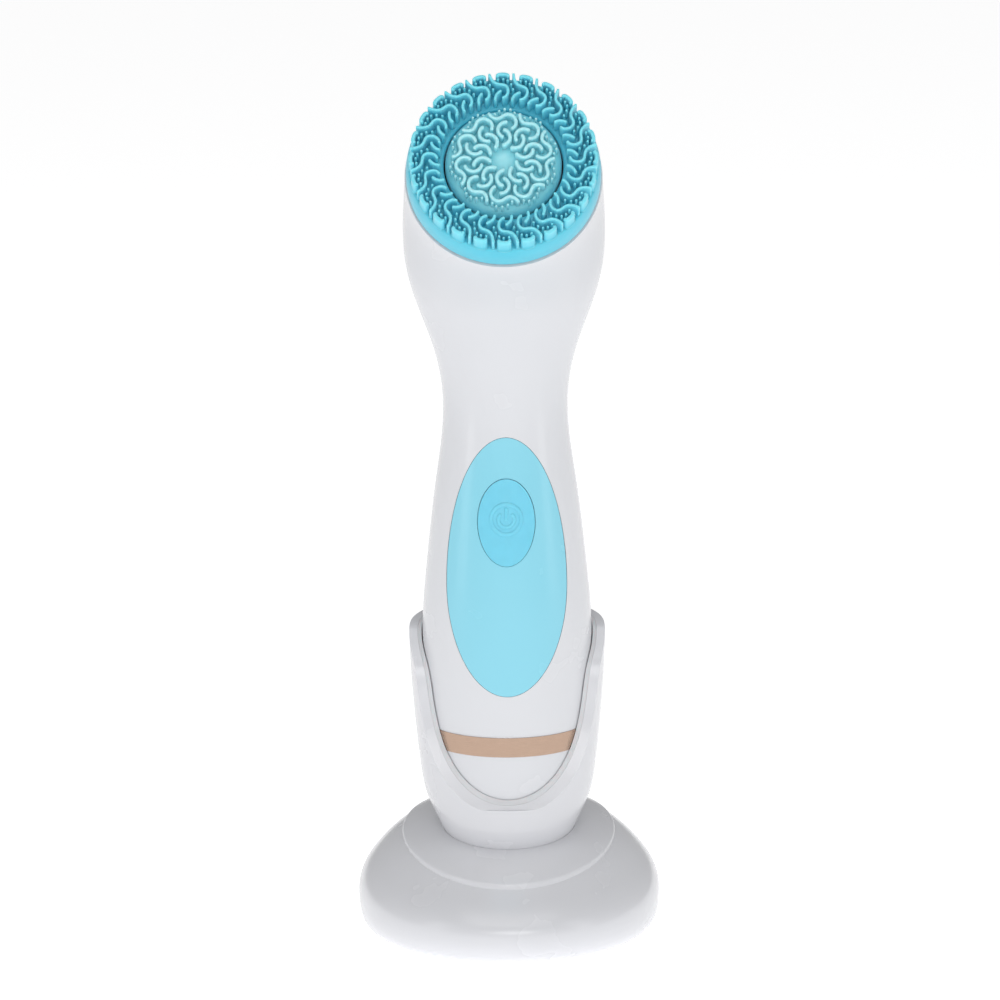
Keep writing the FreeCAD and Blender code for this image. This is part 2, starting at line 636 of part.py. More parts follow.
def raised_middle():
    """The raised middle of the base, oval from above, with a rounded edge."""
    oval = section("raised_outline", "raised_wide", "raised_long", "raised_y",
                   "parting_z + base_wall")
    post = extruded("raised_post", oval, "far_away")
    blank = common("raised_blank", post, base_skin("raised_skin", "-raised_by", "-raised_by"))
    doc.recompute()
    low, high = value("parting_z + base_wall"), value("summit_z")
    rim = [number for number, edge in enumerate(blank.Shape.Edges, start=1)
           if edge.BoundBox.ZMin > low and edge.BoundBox.ZMax < high]
    middle = add("Part::Fillet", "raised_middle")
    middle.Base = blank
    middle.Edges = [(number, value("raised_round"), value("raised_round")) for number in rim]
    return middle


def make_charger():
    """The charging board, its inlet, and the transmitting coil with its ferrite."""
    top = "charger_z + charger_thick"
    node("charging_board", box("charging_board", ("-charger_wide", "charger_wide"),
                               ("charger_front_y", "charger_back_y"), ("charger_z", top)))
    front = "usb_back_y - usb_long"
    can = box("usb_can", ("-usb_wide", "usb_wide"), (front, "usb_back_y"),
              (top, top + " + usb_high"))
    mouth = box("usb_mouth", ("-usb_wide + usb_skin", "usb_wide - usb_skin"),
                (front + " + 1", "usb_back_y + 1"),
                (top + " + usb_skin", top + " + usb_high - usb_skin"))
    tongue = box("usb_tongue", ("-usb_wide / 2", "usb_wide / 2"), (front, "usb_back_y - 1.2"),
                 (top + " + usb_high / 2 - 0.3", top + " + usb_high / 2 + 0.3"))
    node("usb_socket", fuse("usb_socket", cut("usb_shell", can, mouth), tongue))
    coil_top = "cradle_foot_z + cradle_pocket"
    node("transmit_coil", washer("transmit_coil", "coil_inner", "coil_outer",
                                 coil_top + " - coil_thick", coil_top))
    node("transmit_ferrite", rod("transmit_ferrite", "coil_outer",
                                 coil_top + " - coil_thick - ferrite_thick",
                                 coil_top + " - coil_thick"))


# Cradle -------------------------------------------------------------------------------------

def rim_cutter():
    """The space in front of and above the cradle's rim, as a side outline carried along X."""
    names = ["bend", "cup", "rise", "waist", "arm", "tip", "top", "back"]
    sweep = [Vector(0, value("rim_%s_y" % name), value("rim_%s_z" % name)) for name in names]
    reach = value("far_away") / 2
    curve = Part.BSplineCurve()
    front = Vector(0, -reach, value("rim_front_z"))
    back = Vector(0, reach, value("rim_end_z"))
    curve.interpolate(sweep, InitialTangent=Vector(0, 1, 0.9), FinalTangent=Vector(0, 1, 0.1))
    top_back, top_front = back + Vector(0, 0, reach * 3), front + Vector(0, 0, reach * 4)
    corners = [sweep[-1], back, top_back, top_front, front, sweep[0]]
    edges = [curve.toShape()]
    edges += [Part.LineSegment(*pair).toShape() for pair in zip(corners, corners[1:])]
    face = Part.Face(Part.Wire(edges))
    cutter = add("Part::Feature", "rim_cutter")
    cutter.Shape = face.extrude(Vector(4 * reach, 0, 0))
    cutter.Placement.Base = Vector(-2 * reach, 0, 0)
    return cutter


def make_cradle():
    """The cradle cup with its scooped front, its soft liner and the screws that hold it."""
    cutter = rim_cutter()
    shape = cradle_shape("cradle_shape", "0")
    room = handle_room("cradle_room", "slip_gap + liner_thick + cradle_gap")
    foot = rod("cradle_foot", "cradle_root - screw_gap", "cradle_foot_z",
               "cradle_root_z + foot_lap")
    coil_room = rod("coil_room", "coil_outer + slip_gap", "cradle_foot_z",
                    "cradle_foot_z + cradle_pocket")
    spots = round_spots("cradle_screw_ring", 3, 90)
    bores = [rod("cradle_hole_%d" % spot, "screw_radius + screw_gap", "cradle_foot_z",
                 "cradle_foot_z + cradle_screw_long", x, y) for spot, (x, y) in enumerate(spots)]
    solid = fuse("cradle_blank", shape, foot)
    tools = fuse("cradle_tools", room, cutter, coil_room, *bores)
    node("cradle", cut("cradle", solid, tools))
    liner = cut("liner_blank", handle_room("liner_shape", "slip_gap + liner_thick"),
                handle_room("liner_room", "slip_gap", "tail_z"))
    node("cradle_liner", cut("cradle_liner", liner, cutter))
    node("cradle_screws", screws("cradle_screws", spots, "cradle_foot_z - shelf_thick",
                                 "shelf_thick + cradle_screw_long - 0.5", "screw_head_height",
                                 downwards=False))


def cradle_shape(name, grow):
    """The cradle's outer shape, grown outwards: round at its root, then outside the handle."""
    outside = "slip_gap + liner_thick + cradle_gap + cradle_wall + " + grow
    low = [(value("cradle_%s + %s" % (part, grow)), value("cradle_%s + %s" % (part, grow)), 0,
            value("cradle_%s_z" % part)) for part in ("root", "shin", "calf")]
    high = [handle_oval(station, outside) for station in GRIP[2:]]
    return skin(name, low + high + [crown_oval(outside)])


def crown_oval(grow):
    """An oval above the cradle's rim, as wide as the handle's belly grown outwards."""
    wide, deep = handle_oval("belly", grow)[:2]
    return wide, deep, 0, value("rim_end_z + 5")


def handle_room(name, grow, floor="tail_z - liner_thick"):
    """The space that the lower handle takes, grown outwards, down to a level floor."""
    sides = [handle_oval(station, grow) for station in GRIP] + [crown_oval(grow)]
    if value(floor) >= value("tail_z"):
        return skin(name, sides)
    oval = section(name + "_floor", "tail_wide + " + grow, "tail_deep + " + grow, "0", floor)
    bottom = extruded(name + "_bottom", oval, "tail_z + slip_gap - (%s)" % floor)
    return fuse(name, skin(name + "_sides", sides), bottom)


# Handle shells ------------------------------------------------------------------------------

def make_handle_shells():
    """Front and rear shells, front panel, trim band, bottom cap and seal."""
    outside, core = handle_skin("handle_skin", "0"), handle_skin("handle_core", "-shell_wall",
                                                                 past_ends=1)
    proud = handle_skin("proud_skin", "proud")
    under_panel = handle_skin("under_panel", "-panel_thick", past_ends=1)
    wall = cut("handle_wall", outside, core)
    above = slab("above_band", "band_top_z", "5 * far_away")
    ledge = cut("ledge_ring", rod("ledge_outer", "face_radius", "-plate_thick - ledge_thick",
                                  "-plate_thick"),
                rod("ledge_hole", "face_radius - shell_wall - ledge_wide", "-far_away", "far_away"))
    bind(ledge, Placement=FACE_FRAME)
    ledge_in = common("face_ledge", ledge, outside)
    upper = common("upper_wall", wall, above)
    body = fuse("upper_body", upper, ledge_in)
    front_side = box("front_side", ("-far_away", "far_away"), ("-far_away", "split_y"),
                     ("0", "5 * far_away"))
    panel_hole = panel_prism("panel_hole", "seam_gap")
    recess = cut("panel_recess", panel_hole, under_panel)
    opening = oval_prism("button_opening", "button_wide + button_gap", "button_high + button_gap",
                         "button_z")
    front = common("front_half", body, front_side)
    guide = button_guide(core)
    bosses = screw_bosses(core)
    front = cut("front_cut", fuse("front_parts", front, guide, *bosses),
                fuse("front_tools", recess, opening, *boss_holes("front")))
    node("front_shell", front)
    node("rear_shell", cut("rear_shell", body, front_side))
    panel = common("panel_blank", panel_prism("panel_shape", "0"), outside)
    node("front_panel", cut("front_panel", cut("panel_inlay", panel, under_panel), opening))
    band = common("trim_blank", proud, slab("band_slab", "band_low_z", "band_top_z"))
    node("trim_band", cut("trim_band", band, core))
    make_bottom_cap(outside, core)
    make_button(proud)


def panel_prism(name, grow):
    """The front panel's egg outline from two half ovals, carried through the front wall."""
    upper = oval_prism(name + "_up", "panel_wide + " + grow, "panel_up + " + grow, "panel_z",
                       back="-screw_radius")
    lower = oval_prism(name + "_down", "panel_wide + " + grow, "panel_down + " + grow, "panel_z",
                       back="-screw_radius")
    top = common(name + "_top", upper, slab(name + "_above", "panel_z", "5 * far_away"))
    bottom = common(name + "_bottom", lower, slab(name + "_below", "0", "panel_z"))
    return fuse(name, top, bottom)


def make_bottom_cap(outside, core):
    """The cap below the trim band, with the spigot that plugs into the shells, and its seal."""
    below = slab("below_band", "0", "band_low_z")
    floor = common("cap_floor_disc", outside,
                   slab("cap_floor_slab", "tail_z", "tail_z + cap_floor"))
    wall = common("cap_wall", cut("cap_hollow", outside, core), below)
    spigot_top = "band_top_z + spigot_gap"
    plug = cut("spigot_blank", handle_skin("spigot_outer", "-shell_wall - spigot_gap", GRIP),
               handle_skin("spigot_inner", "-shell_wall - spigot_gap - spigot_wall", GRIP,
                           past_ends=1))
    spigot = common("spigot", plug, slab("spigot_slab", "band_low_z - spigot_wall", spigot_top))
    lip = common("spigot_lip", cut("lip_blank", outside, handle_skin(
        "lip_hole", "-shell_wall - spigot_gap - spigot_wall", GRIP, past_ends=1)),
        slab("lip_slab", "band_low_z - spigot_wall", "band_low_z"))
    node("bottom_cap", fuse("bottom_cap", wall, floor, lip, spigot))
    seal = common("seal_blank", plug, slab("seal_slab", spigot_top, spigot_top + " + seal_high"))
    node("cap_seal", seal)


# Power button -------------------------------------------------------------------------------

RIM_FRONT = "rim_seat_y + shell_wall"


def button_guide(core):
    """The oval wall inside the front shell that guides the button's rim."""
    inner = "button_rim + guide_gap"
    outer = inner + " + guide_wall"
    tube = cut("guide_tube",
               oval_prism("guide_outer", "button_wide + " + outer, "button_high + " + outer,
                          "button_z", back="membrane_y"),
               oval_prism("guide_inner", "button_wide + " + inner, "button_high + " + inner,
                          "button_z"))
    return common("button_guide", tube, core)


def make_button(proud):
    """The thumb button, its plunger, and the membrane behind it."""
    cap = common("button_cap", proud, oval_prism("button_shape", "button_wide", "button_high",
                                                 "button_z", back=RIM_FRONT))
    rim = oval_prism("button_rim_plate", "button_wide + button_rim", "button_high + button_rim",
                     "button_z", RIM_FRONT, RIM_FRONT + " + rim_thick")
    node("power_button", fuse("power_button", cap, rim))
    stem_end = "chassis_y - board_thick - switch_high - stem_high"
    node("switch_plunger", rod_back("switch_plunger", "plunger_radius", RIM_FRONT + " + rim_thick",
                                    stem_end + " - button_travel - screw_gap", z="button_z"))
    sheet_out = "button_rim + guide_gap + guide_wall"
    membrane = oval_prism("membrane_blank", "button_wide + " + sheet_out,
                          "button_high + " + sheet_out, "button_z", "membrane_y",
                          "membrane_y + membrane_thick")
    hole = rod_back("membrane_hole", "plunger_hole", "membrane_y - 1",
                    "membrane_y + membrane_thick + 1", z="button_z")
    node("button_seal", cut("button_seal", membrane, hole))


# Chassis and electronics --------------------------------------------------------------------

def boss_spots():
    """The four screw spots of the chassis, as (x, z) pairs of expressions."""
    return [("%d * boss_x" % side, z) for side in (-1, 1) for z in ("low_boss_z", "top_boss_z")]


def screw_bosses(core):
    """Posts from the front shell back to the chassis."""
    return [common("boss_%d" % number, core,
                   rod_back("boss_rod_%d" % number, "boss_radius", "-far_away", "chassis_y", x, z))
            for number, (x, z) in enumerate(boss_spots())]


def boss_holes(tag):
    """Holes for the chassis screws."""
    return [rod_back("%s_hole_%d" % (tag, number), "screw_radius + screw_gap", "boss_hole_y",
                     "far_away", x, z) for number, (x, z) in enumerate(boss_spots())]


def make_chassis():
    """The chassis plate with its battery cheeks, and the screws that hold it to the front shell."""
    back = "chassis_y + chassis_thick"
    plate = box("chassis_plate", ("-chassis_wide", "chassis_wide"), ("chassis_y", back),
                ("chassis_low_z", "chassis_top_z"))
    inner, outer = "battery_radius + battery_gap", "battery_radius + battery_gap + cheek_thick"
    low, high = "battery_low_z - tab_thick - end_wall", "battery_low_z + battery_long + nub_high"
    top = high + " + tab_thick + end_wall"
    cheeks = [box("cheek_right", (inner, outer), ("chassis_y", "cheek_back_y"), (low, top)),
              box("cheek_left", ("-(%s)" % outer, "-(%s)" % inner), ("chassis_y", "cheek_back_y"),
                  (low, top))]
    ends = [box("low_end", ("-(%s)" % outer, outer), ("chassis_y", "cheek_back_y"),
                (low, low + " + end_wall")),
            box("top_end", ("-(%s)" % outer, outer), ("chassis_y", "cheek_back_y"),
                (top + " - end_wall", top))]
    frame = cut("chassis", fuse("chassis_blank", plate, *cheeks, *ends),
                fuse("chassis_holes", *chassis_holes()))
    node("chassis", frame)
    pieces = []
    for number, (x, z) in enumerate(boss_spots()):
        head = rod_back("case_head_%d" % number, "screw_head_radius", back,
                        back + " + screw_head_height", x, z)
        shank = rod_back("case_shank_%d" % number, "screw_radius", "case_screw_y", back, x, z)
        pieces.append(fuse("case_screw_%d" % number, head, shank))
    node("chassis_screws", group("chassis_screws", pieces))


def chassis_holes():
    """Clearance for the screws and their heads, where the battery cheeks would be in the way."""
    back = "chassis_y + chassis_thick"
    heads = [rod_back("head_room_%d" % number, "screw_head_radius + slip_gap", back, "far_away", x,
                      z) for number, (x, z) in enumerate(boss_spots())]
    return boss_holes("chassis") + heads


def make_electronics():
    """Board, tact switch, battery with its end tabs, and the receiving coil with its ferrite."""
    front = "chassis_y - board_thick"
    node("main_board", box("main_board", ("-board_wide", "board_wide"), (front, "chassis_y"),
                           ("board_low_z", "board_top_z")))
    half = "switch_side / 2"
    can = box("switch_can", ("-" + half, half), (front + " - switch_high", front),
              ("button_z - " + half, "button_z + " + half))
    stem = rod_back("switch_stem", "stem_radius", front + " - switch_high - stem_high",
                    front + " - switch_high", z="button_z")
    node("tact_switch", fuse("tact_switch", can, stem))
    cell = turned("battery_cell", [("0", "0"), ("battery_radius", "0"),
                                   ("battery_radius", "battery_long"),
                                   ("nub_radius", "battery_long"),
                                   ("nub_radius", "battery_long + nub_high"),
                                   ("0", "battery_long + nub_high")])
    middle = "chassis_y + chassis_thick + battery_stand + battery_radius"
    node("battery_cell", place(cell, "0", middle, "battery_low_z"))
    side = "boss_x - screw_head_radius - tab_gap"
    top = "battery_low_z + battery_long + nub_high"
    tabs = [box("low_tab", ("-(%s)" % side, side), ("chassis_y + chassis_thick", middle),
                ("battery_low_z - tab_thick", "battery_low_z")),
            box("top_tab", ("-(%s)" % side, side), ("chassis_y + chassis_thick", middle),
                (top, top + " + tab_thick"))]
    node("battery_tabs", group("battery_tabs", tabs))
    floor = "tail_z + cap_floor"
    node("receive_coil", washer("receive_coil", "coil_inner", "coil_outer", floor,
                                floor + " + coil_thick"))
    node("receive_ferrite", rod("receive_ferrite", "coil_outer", floor + " + coil_thick",
                                floor + " + coil_thick + ferrite_thick"))


# Head ---------------------------------------------------------------------------------------

def make_gearbox():
    """Head plate with its seal, the gearbox cup, and the plate and pins that carry the planets."""
    plate = washer("head_plate", "plate_bore", "face_radius - shell_wall - plate_gap",
                   "-plate_thick", "0")
    holes(plate, "plate_screw_hole", "screw_radius + screw_gap", "cup_boss_ring", "0",
          "plate_thick", 4)
    holes(plate, "plate_screw_sink", "screw_head_radius + slip_gap", "cup_boss_ring", "0",
          "screw_head_height + screw_gap", 4)
    node("head_plate", plate, FACE_FRAME)
    node("face_seal", washer("face_seal", "seal_inner", "plate_bore", "-plate_thick", "-slip_gap"),
         FACE_FRAME)
    cup = turned("gearbox_housing", [
        ("shaft_radius + shaft_gap", "cup_back"), ("cup_outer", "cup_back"),
        ("cup_outer", "-plate_thick"), ("cup_inner", "-plate_thick"),
        ("cup_inner", "cup_back + cup_floor"),
        ("shaft_radius + shaft_gap", "cup_back + cup_floor")])
    posts(cup, "cup_boss", "cup_boss_radius", "cup_boss_ring", "-plate_thick - cup_boss_long",
          "-plate_thick", 4)
    holes(cup, "cup_screw_hole", "screw_radius + screw_gap", "cup_boss_ring", "-plate_thick",
          "cup_boss_long - 0.6", 4)
    bore = rod("nose_room", "motor_nose_radius + shaft_gap", "cup_back", "cup_back + cup_floor",
               y="-" + CENTRES)
    lathe = rod("cup_inside", "cup_inner", "cup_back + cup_floor", "-plate_thick")
    node("gearbox_housing", cut("gearbox_case", cup, fuse("cup_tools", bore, lathe)), FACE_FRAME)
    node("gearbox_screws", screws("gearbox_screws", round_spots("cup_boss_ring", 4, 0),
                                  "-screw_head_height - screw_gap", "cup_screw_long",
                                  "screw_head_height"), FACE_FRAME)
    carrier = turned("planet_plate", [
        ("bushing_radius", "planet_plate_back"), ("cup_inner - screw_gap", "planet_plate_back"),
        ("cup_inner - screw_gap", "planet_plate_front"), ("bushing_radius", "planet_plate_front")])
    node("planet_plate", carrier, FACE_FRAME)
    node("shaft_bushing", washer("shaft_bushing", "shaft_radius + shaft_gap", "bushing_radius",
                                 "planet_plate_back", "planet_plate_front"), FACE_FRAME)
    pins = [rod("pin_%d" % number, "pin_radius", "planet_plate_front", "web_back - slip_gap", x, y)
            for number, (x, y) in enumerate(round_spots(ORBIT, PLANETS, 90))]
    node("planet_pins", group("planet_pins", pins), FACE_FRAME)


CENTRES = "tooth_module * (wheel_teeth + pinion_teeth) / 2"
ORBIT = "tooth_module * sun_teeth"
RING_TEETH = "3 * sun_teeth"


def make_gears():
    """The motor pinion drives the wheel and sun; three planets turn the ring the other way."""
    wheel, sun, pinion = (int(value(name + "_teeth")) for name in ("wheel", "sun", "pinion"))
    ring = int(value(RING_TEETH))
    node("wheel_gear", outer_gear("wheel_gear", wheel, "shaft_radius", "wheel_back",
                                  "wheel_front", 0), FACE_FRAME)
    node("sun_gear", outer_gear("sun_gear", sun, "shaft_radius", "planet_back", "planet_front",
                                0), FACE_FRAME)
    down = -math.pi / 2
    turn = mating_turn(wheel, 0, pinion, down)
    node("motor_pinion", outer_gear("motor_pinion", pinion, "motor_shaft_radius", "wheel_back",
                                    "wheel_front", turn, (0, -value(CENTRES))), FACE_FRAME)
    for number in range(PLANETS):
        way = math.pi / 2 + 2 * math.pi * number / PLANETS
        turn = mating_turn(sun, 0, sun, way)
        spot = (value(ORBIT) * math.cos(way), value(ORBIT) * math.sin(way))
        label = "planet_gear_%d" % (number + 1)
        node(label, outer_gear(label, sun, "pin_radius + shaft_gap", "planet_back",
                               "planet_front", turn, spot), FACE_FRAME)
    space = ring_gear_space("ring_space", ring, "hub_back", "web_back",
                            ring_turn(sun, turn, ring, way))
    hub = turned("hub_blank", [("shaft_radius + shaft_gap", "hub_back"),
                               ("hub_radius", "hub_back"), ("hub_radius", "hub_front"),
                               ("hub_bore", "hub_front"), ("hub_bore", "web_front"),
                               ("shaft_radius + shaft_gap", "web_front")])
    node("ring_gear_hub", cut("ring_gear_hub", hub, space), FACE_FRAME)
    node("drive_shaft", disc("drive_shaft", "shaft_radius", "shaft_back", "shaft_nose"), FACE_FRAME)


def make_motor():
    """The motor below the brush axis, its rear cap, its shaft and the leads to the board."""
    back = "cup_back - motor_long"
    low = "placement(vector(0; -%s; 0); rotation(vector(1; 0; 0); 0))" % CENTRES
    frame = FACE_FRAME + " * " + low
    node("motor_case", turned("motor_case", [
        ("motor_shaft_radius + shaft_gap", back), ("motor_radius", back),
        ("motor_radius", "cup_back"), ("motor_nose_radius", "cup_back"),
        ("motor_nose_radius", "cup_back + motor_nose"),
        ("motor_shaft_radius + shaft_gap", "cup_back + motor_nose")]), frame)
    node("motor_end_cap", disc("motor_end_cap", "end_cap_radius", back + " - end_cap_thick", back),
         frame)
    node("motor_shaft", disc("motor_shaft", "motor_shaft_radius", back, "wheel_front"), frame)
    leads = add("Part::Feature", "motor_leads")
    leads.Shape = Part.Compound([lead_shape(side) for side in (-1, 1)])
    node("motor_leads", leads)


def lead_shape(side):
    """One motor lead, from the motor's rear cap down the back of the neck to the board."""
    tilt = Rotation(Vector(1, 0, 0), value("face_tilt"))
    origin = Vector(0, value("face_y"), value("face_z"))
    radius, x = value("lead_radius"), side * value("lead_x")
    back = value("cup_back - motor_long - end_cap_thick")
    start = origin + tilt.multVec(Vector(x, -value(CENTRES), back))
    away = tilt.multVec(Vector(0, 0, -1))
    board_y, board_z = value("chassis_y - board_thick / 2"), value("board_top_z")
    path = [start, start + away * value("lead_straight"),
            Vector(x, start.y - value("lead_lean"), start.z - value("lead_drop")),
            Vector(x, value("lead_neck_y"), value("lead_neck_z")),
            Vector(x, board_y, board_z + value("lead_rise")), Vector(x, board_y, board_z)]
    return bent_tube(path, radius, 0.45)


def make_brush_heads():
    """The driving flange and the two lift-off brush heads with their soft bristle pads."""
    node("outer_drive_flange", turned("outer_drive_flange", [
        ("flange_bore", "hub_front"), ("flange_outer", "hub_front"),
        ("flange_outer", "flange_front"), ("flange_bore", "flange_front")]), FACE_FRAME)
    grip = "flange_outer + shaft_gap"
    node("outer_head_carrier", turned("outer_head_carrier", [
        ("carrier_inner", "flange_front"), (grip, "flange_front"), (grip, "carrier_back"),
        ("carrier_outer", "carrier_back"), ("carrier_outer", "carrier_front"),
        ("carrier_inner", "carrier_front")]), FACE_FRAME)
    node("outer_brush_ring", turned("outer_brush_ring", [
        ("ring_inner", "carrier_front"), ("carrier_outer", "carrier_front"),
        ("carrier_outer", "ring_back"), ("ring_outer", "ring_back"),
        ("ring_top_outer + 0.4", "ring_floor - 0.8"), ("ring_top_outer", "ring_floor"),
        ("ring_top_outer - 0.5", "ring_crown"), ("ring_inner + 1.2", "ring_crown"),
        ("ring_inner", "ring_shoulder")]), FACE_FRAME)
    bore = "shaft_radius + shaft_gap"
    node("inner_head_core", turned("inner_head_core", [
        (bore, "socket_back"), ("socket_radius", "socket_back"), ("socket_radius", "dome_back"),
        ("core_radius", "dome_back"), ("core_radius", "core_front"), ("0", "core_front"),
        ("0", "shaft_nose + screw_gap"), (bore, "shaft_nose + screw_gap")]), FACE_FRAME)
    node("inner_brush_pad", turned("inner_brush_pad", [
        ("core_radius", "dome_back"), ("dome_radius", "dome_back"), ("dome_radius", "dome_edge"),
        ("core_radius + 0.6", "dome_shoulder"), ("core_radius", "dome_crown"),
        ("0", "dome_crown"), ("0", "core_front"), ("core_radius", "core_front")]), FACE_FRAME)


def check_document():
    """Stop if any object of the document failed, or any piece isn't a valid solid."""
    doc.recompute()
    faults = [thing.Name for thing in doc.Objects
              if "Invalid" in thing.State or "Error" in thing.State]
    for label, thing in NODES.items():
        if thing.Shape.isNull() or not thing.Shape.isValid() or not thing.Shape.Solids:
            faults.append(label)
    if faults:
        raise RuntimeError("failed: " + ", ".join(faults))


def write_parts():
    """Write each piece to its own file."""
    os.makedirs("parts", exist_ok=True)
    for label, thing in NODES.items():
        thing.Shape.exportStep("parts/%s.step" % label)
        print("%-20s solids %d  volume %9.1f" % (label, len(thing.Shape.Solids),
                                                 thing.Shape.Volume))
    print(len(NODES), "nodes")


make_base()
make_charger()
make_cradle()
make_handle_shells()
make_chassis()
make_electronics()
make_gearbox()
make_gears()
make_motor()
make_brush_heads()
check_document()
write_parts()
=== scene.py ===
"""Looks of a cordless facial cleansing brush that stands in its charging cradle.

The CAD nodes carry every hard part. This script gives each of them its finish, and stands two
moulded silicone brush heads, with all their ribs and nubs, where the CAD has plain solids.
Lengths inside the functions are millimetres. The head has a frame of its own: x to the right,
v up the face, and h out of the face along the axis that the brush heads turn about.
"""

import json
import math

import bmesh
import bpy
import numpy as np
from mathutils import Matrix, Vector


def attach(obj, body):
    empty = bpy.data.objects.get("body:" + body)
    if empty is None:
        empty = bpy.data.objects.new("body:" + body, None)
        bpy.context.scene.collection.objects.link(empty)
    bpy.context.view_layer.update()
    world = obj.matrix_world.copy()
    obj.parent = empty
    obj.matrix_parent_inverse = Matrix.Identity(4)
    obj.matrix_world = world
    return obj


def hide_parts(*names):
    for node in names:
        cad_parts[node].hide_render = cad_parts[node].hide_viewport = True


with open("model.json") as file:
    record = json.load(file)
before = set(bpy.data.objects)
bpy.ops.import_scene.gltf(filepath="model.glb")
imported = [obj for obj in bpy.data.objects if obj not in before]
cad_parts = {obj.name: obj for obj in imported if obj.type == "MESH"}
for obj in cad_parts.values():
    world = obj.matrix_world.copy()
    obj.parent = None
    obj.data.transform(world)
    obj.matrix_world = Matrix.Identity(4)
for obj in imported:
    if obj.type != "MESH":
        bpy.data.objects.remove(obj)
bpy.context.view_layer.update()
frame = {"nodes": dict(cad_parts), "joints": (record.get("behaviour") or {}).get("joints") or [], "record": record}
MM = 0.001
TURN = 2 * math.pi


# Head frame ---------------------------------------------------------------------------------

def head_axes():
    """The middle of the head's face and its three axes, from the joint that the brush turns on."""
    spin = next(joint for joint in frame["joints"] if joint["name"] == "inner_spin")
    out = np.array(spin["axis"], float)
    out /= np.linalg.norm(out)
    across = np.array([1.0, 0.0, 0.0])
    return np.array(spin["pos_m"], float), across, np.cross(out, across), out


FACE, ACROSS, UP_FACE, OUT = head_axes()


def on_head(x, v, h):
    """Points in metres: the face's middle plus x, v and h millimetres along the head's axes."""
    x, v, h = np.broadcast_arrays(x, v, h)
    return FACE + MM * (x[..., None] * ACROSS + v[..., None] * UP_FACE + h[..., None] * OUT)


# Meshes -------------------------------------------------------------------------------------

NUB_SIDES = 8        # Corners round a pin
CURVE_POINTS = 6     # Points along a rounded corner


def grid_faces(rows, columns, around):
    """Quads of a grid of rows and columns, as indices.

    With around, the last column is joined to the first.
    """
    row, column = np.meshgrid(np.arange(rows - 1), np.arange(columns - (not around)),
                              indexing="ij")
    beside = (column + 1) % columns
    quads = np.stack([row * columns + column, row * columns + beside,
                      (row + 1) * columns + beside, (row + 1) * columns + column], -1)
    return quads.reshape(-1, 4)


def piece(name, points, quads, material, body, replaces=()):
    """A closed mesh piece, smooth shaded, that rides on a CAD body; points are in metres.

    Points that lie on each other at a pole or a seam are joined, and then all faces look out.
    """
    mesh = bpy.data.meshes.new(name)
    mesh.from_pydata(points.tolist(), [], quads.tolist())
    shape = bmesh.new()
    shape.from_mesh(mesh)
    bmesh.ops.remove_doubles(shape, verts=shape.verts, dist=1e-6)
    bmesh.ops.recalc_face_normals(shape, faces=shape.faces)
    shape.to_mesh(mesh)
    shape.free()
    mesh.shade_smooth()
    mesh.materials.append(material)
    made = bpy.data.objects.new(name, mesh)
    bpy.context.scene.collection.objects.link(made)
    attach(made, body)
    if replaces:
        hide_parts(*replaces)


def smooth_line(knots, count):
    """Points evenly along a smooth line through the knots.

    Each span is the cubic whose slope at a knot is half the step between the knot's neighbours.
    The cubics are sampled finely, and then read at equal steps of their length.
    """
    knots = np.asarray(knots, float)
    padded = np.vstack([2 * knots[0] - knots[1], knots, 2 * knots[-1] - knots[-2]])
    along = np.linspace(0, len(knots) - 1.0001, 20 * len(knots))
    span = along.astype(int)
    t = (along - span)[:, None]
    a, b, c, d = (padded[span + step] for step in range(4))
    line = b + 0.5 * t * (c - a + t * (2 * a - 5 * b + 4 * c - d + t * (3 * (b - c) + d - a)))
    length = np.append(0, np.cumsum(np.linalg.norm(np.diff(line, axis=0), axis=1)))
    even = np.linspace(0, length[-1], count)
    return np.stack([np.interp(even, length, line[:, axis]) for axis in range(2)], 1), even


def around_head(degrees, radius):
    """x and v of a spot on the head: an angle clockwise from the top, and a radius."""
    angle = np.radians(degrees)
    return radius * np.sin(angle), radius * np.cos(angle)


def repeated(x, v, h, copies):
    """The points of a shape copied evenly about the head's axis, one row of points a copy."""
    turn = TURN * np.arange(copies)[:, None] / copies
    return np.stack([x * np.cos(turn) + v * np.sin(turn), v * np.cos(turn) - x * np.sin(turn),
                     np.broadcast_to(h, (copies, x.size))], -1)


